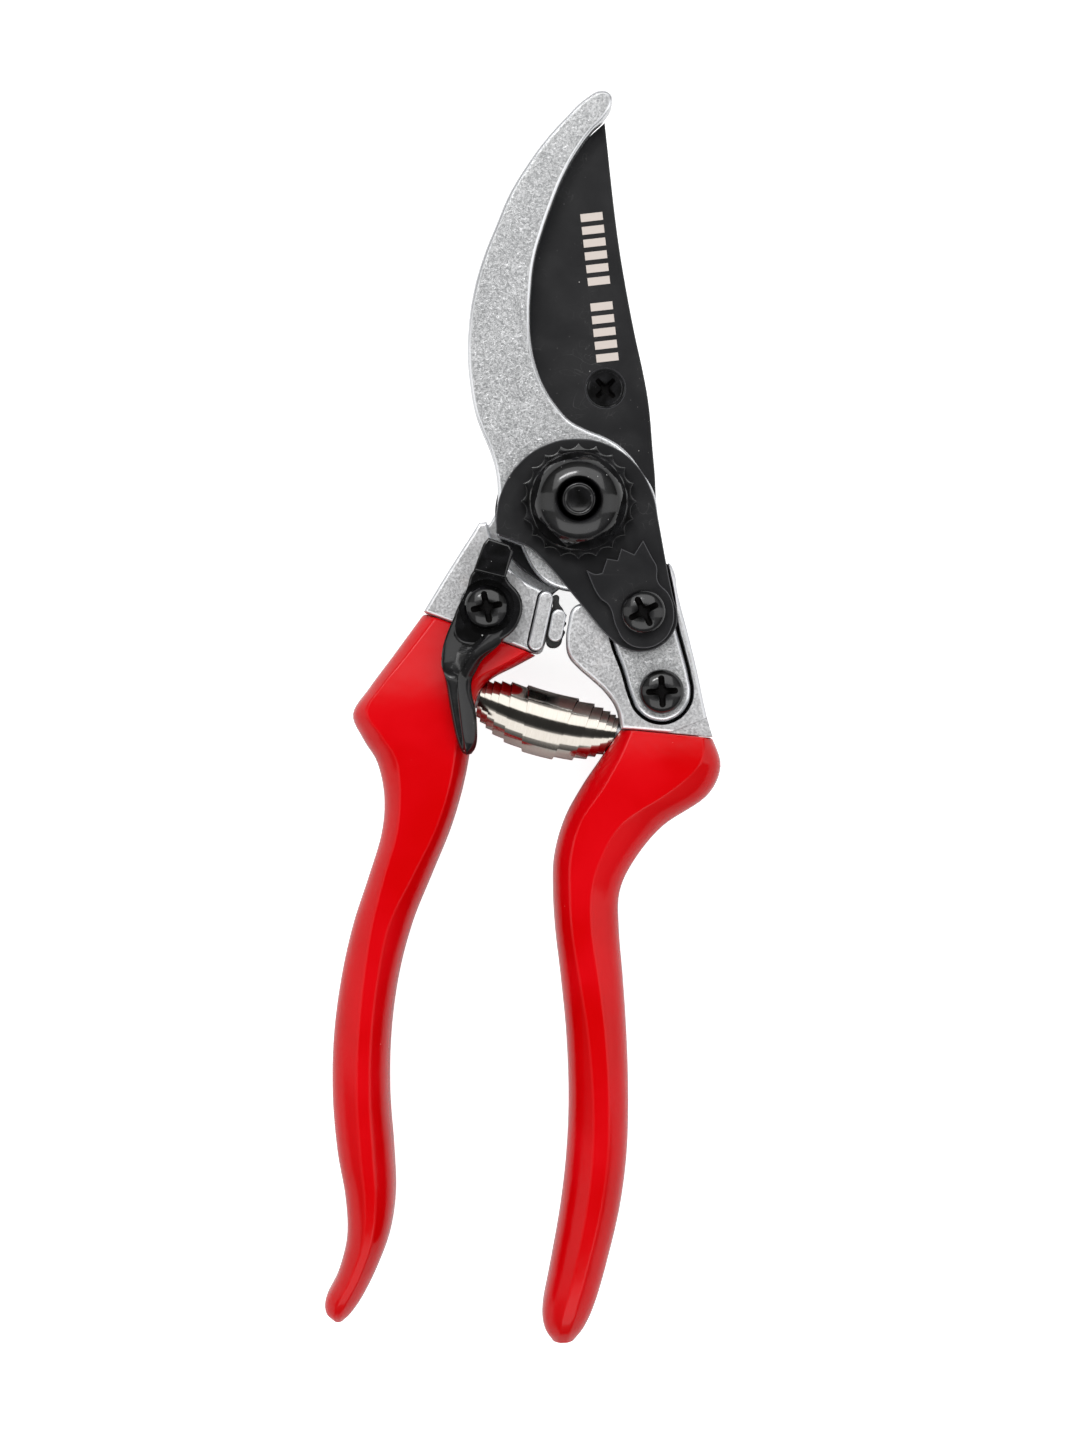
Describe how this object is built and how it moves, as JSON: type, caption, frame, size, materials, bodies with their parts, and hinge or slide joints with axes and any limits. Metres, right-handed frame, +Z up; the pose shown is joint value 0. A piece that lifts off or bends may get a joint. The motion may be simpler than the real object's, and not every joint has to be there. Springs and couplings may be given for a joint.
{
  "type": "bypass pruner",
  "caption": "Hand pruner with a hooked steel jaw, a black bypass blade, a barrel spring, a thumb catch and red dipped handles.",
  "frame": {"origin": "on the pivot's axis, at the flat underside of the bolt head", "axes": "+Z up the pivot's axis to the nut, +Y towards the jaw tips, +X towards the handle with the hook jaw; the tool lies flat and closed"},
  "size_m": [0.068, 0.2137, 0.0262],
  "materials": {
    "bright_steel": "satin",
    "forged_aluminium": "satin",
    "red_grip": "gloss",
    "black_coating": "satin",
    "black_steel": "gloss",
    "polished_nickel": "polished",
    "plain_steel": "satin",
    "black_rubber": "matte"
  },
  "bodies": {
    "anvil_side": {"anvil_handle": "forged_aluminium", "anvil_grip": "red_grip", "anvil_blade": "bright_steel", "nut_plate": "black_coating", "toothed_segment": "black_coating", "segment_screw": "black_steel", "tail_screw": "black_steel", "pivot_bolt": "black_steel", "pivot_nut": "black_steel", "bolt_washer": "plain_steel", "volute_spring": "polished_nickel"},
    "blade_side": {"blade_handle": "forged_aluminium", "blade_grip": "red_grip", "cutting_blade": "black_coating", "blade_screw": "black_steel", "stop_insert": "bright_steel", "bumper_head": "bright_steel", "bumper_rubber": "black_rubber", "catch_screw": "black_steel", "catch_washer": "plain_steel"},
    "catch": {"thumb_catch": "black_steel"}
  },
  "joints": [
    {"name": "handle_pivot", "type": "hinge", "parent": "anvil_side", "child": "blade_side", "pos_m": [0, 0, 0], "axis": [0, 0, -1], "range_deg": [0, 30], "deforming": ["volute_spring"]},
    {"name": "catch_pivot", "type": "hinge", "parent": "blade_side", "child": "catch", "pos_m": [-0.0155, -0.0178, 0], "axis": [0, 0, 1], "range_deg": [0, 25]}
  ]
}
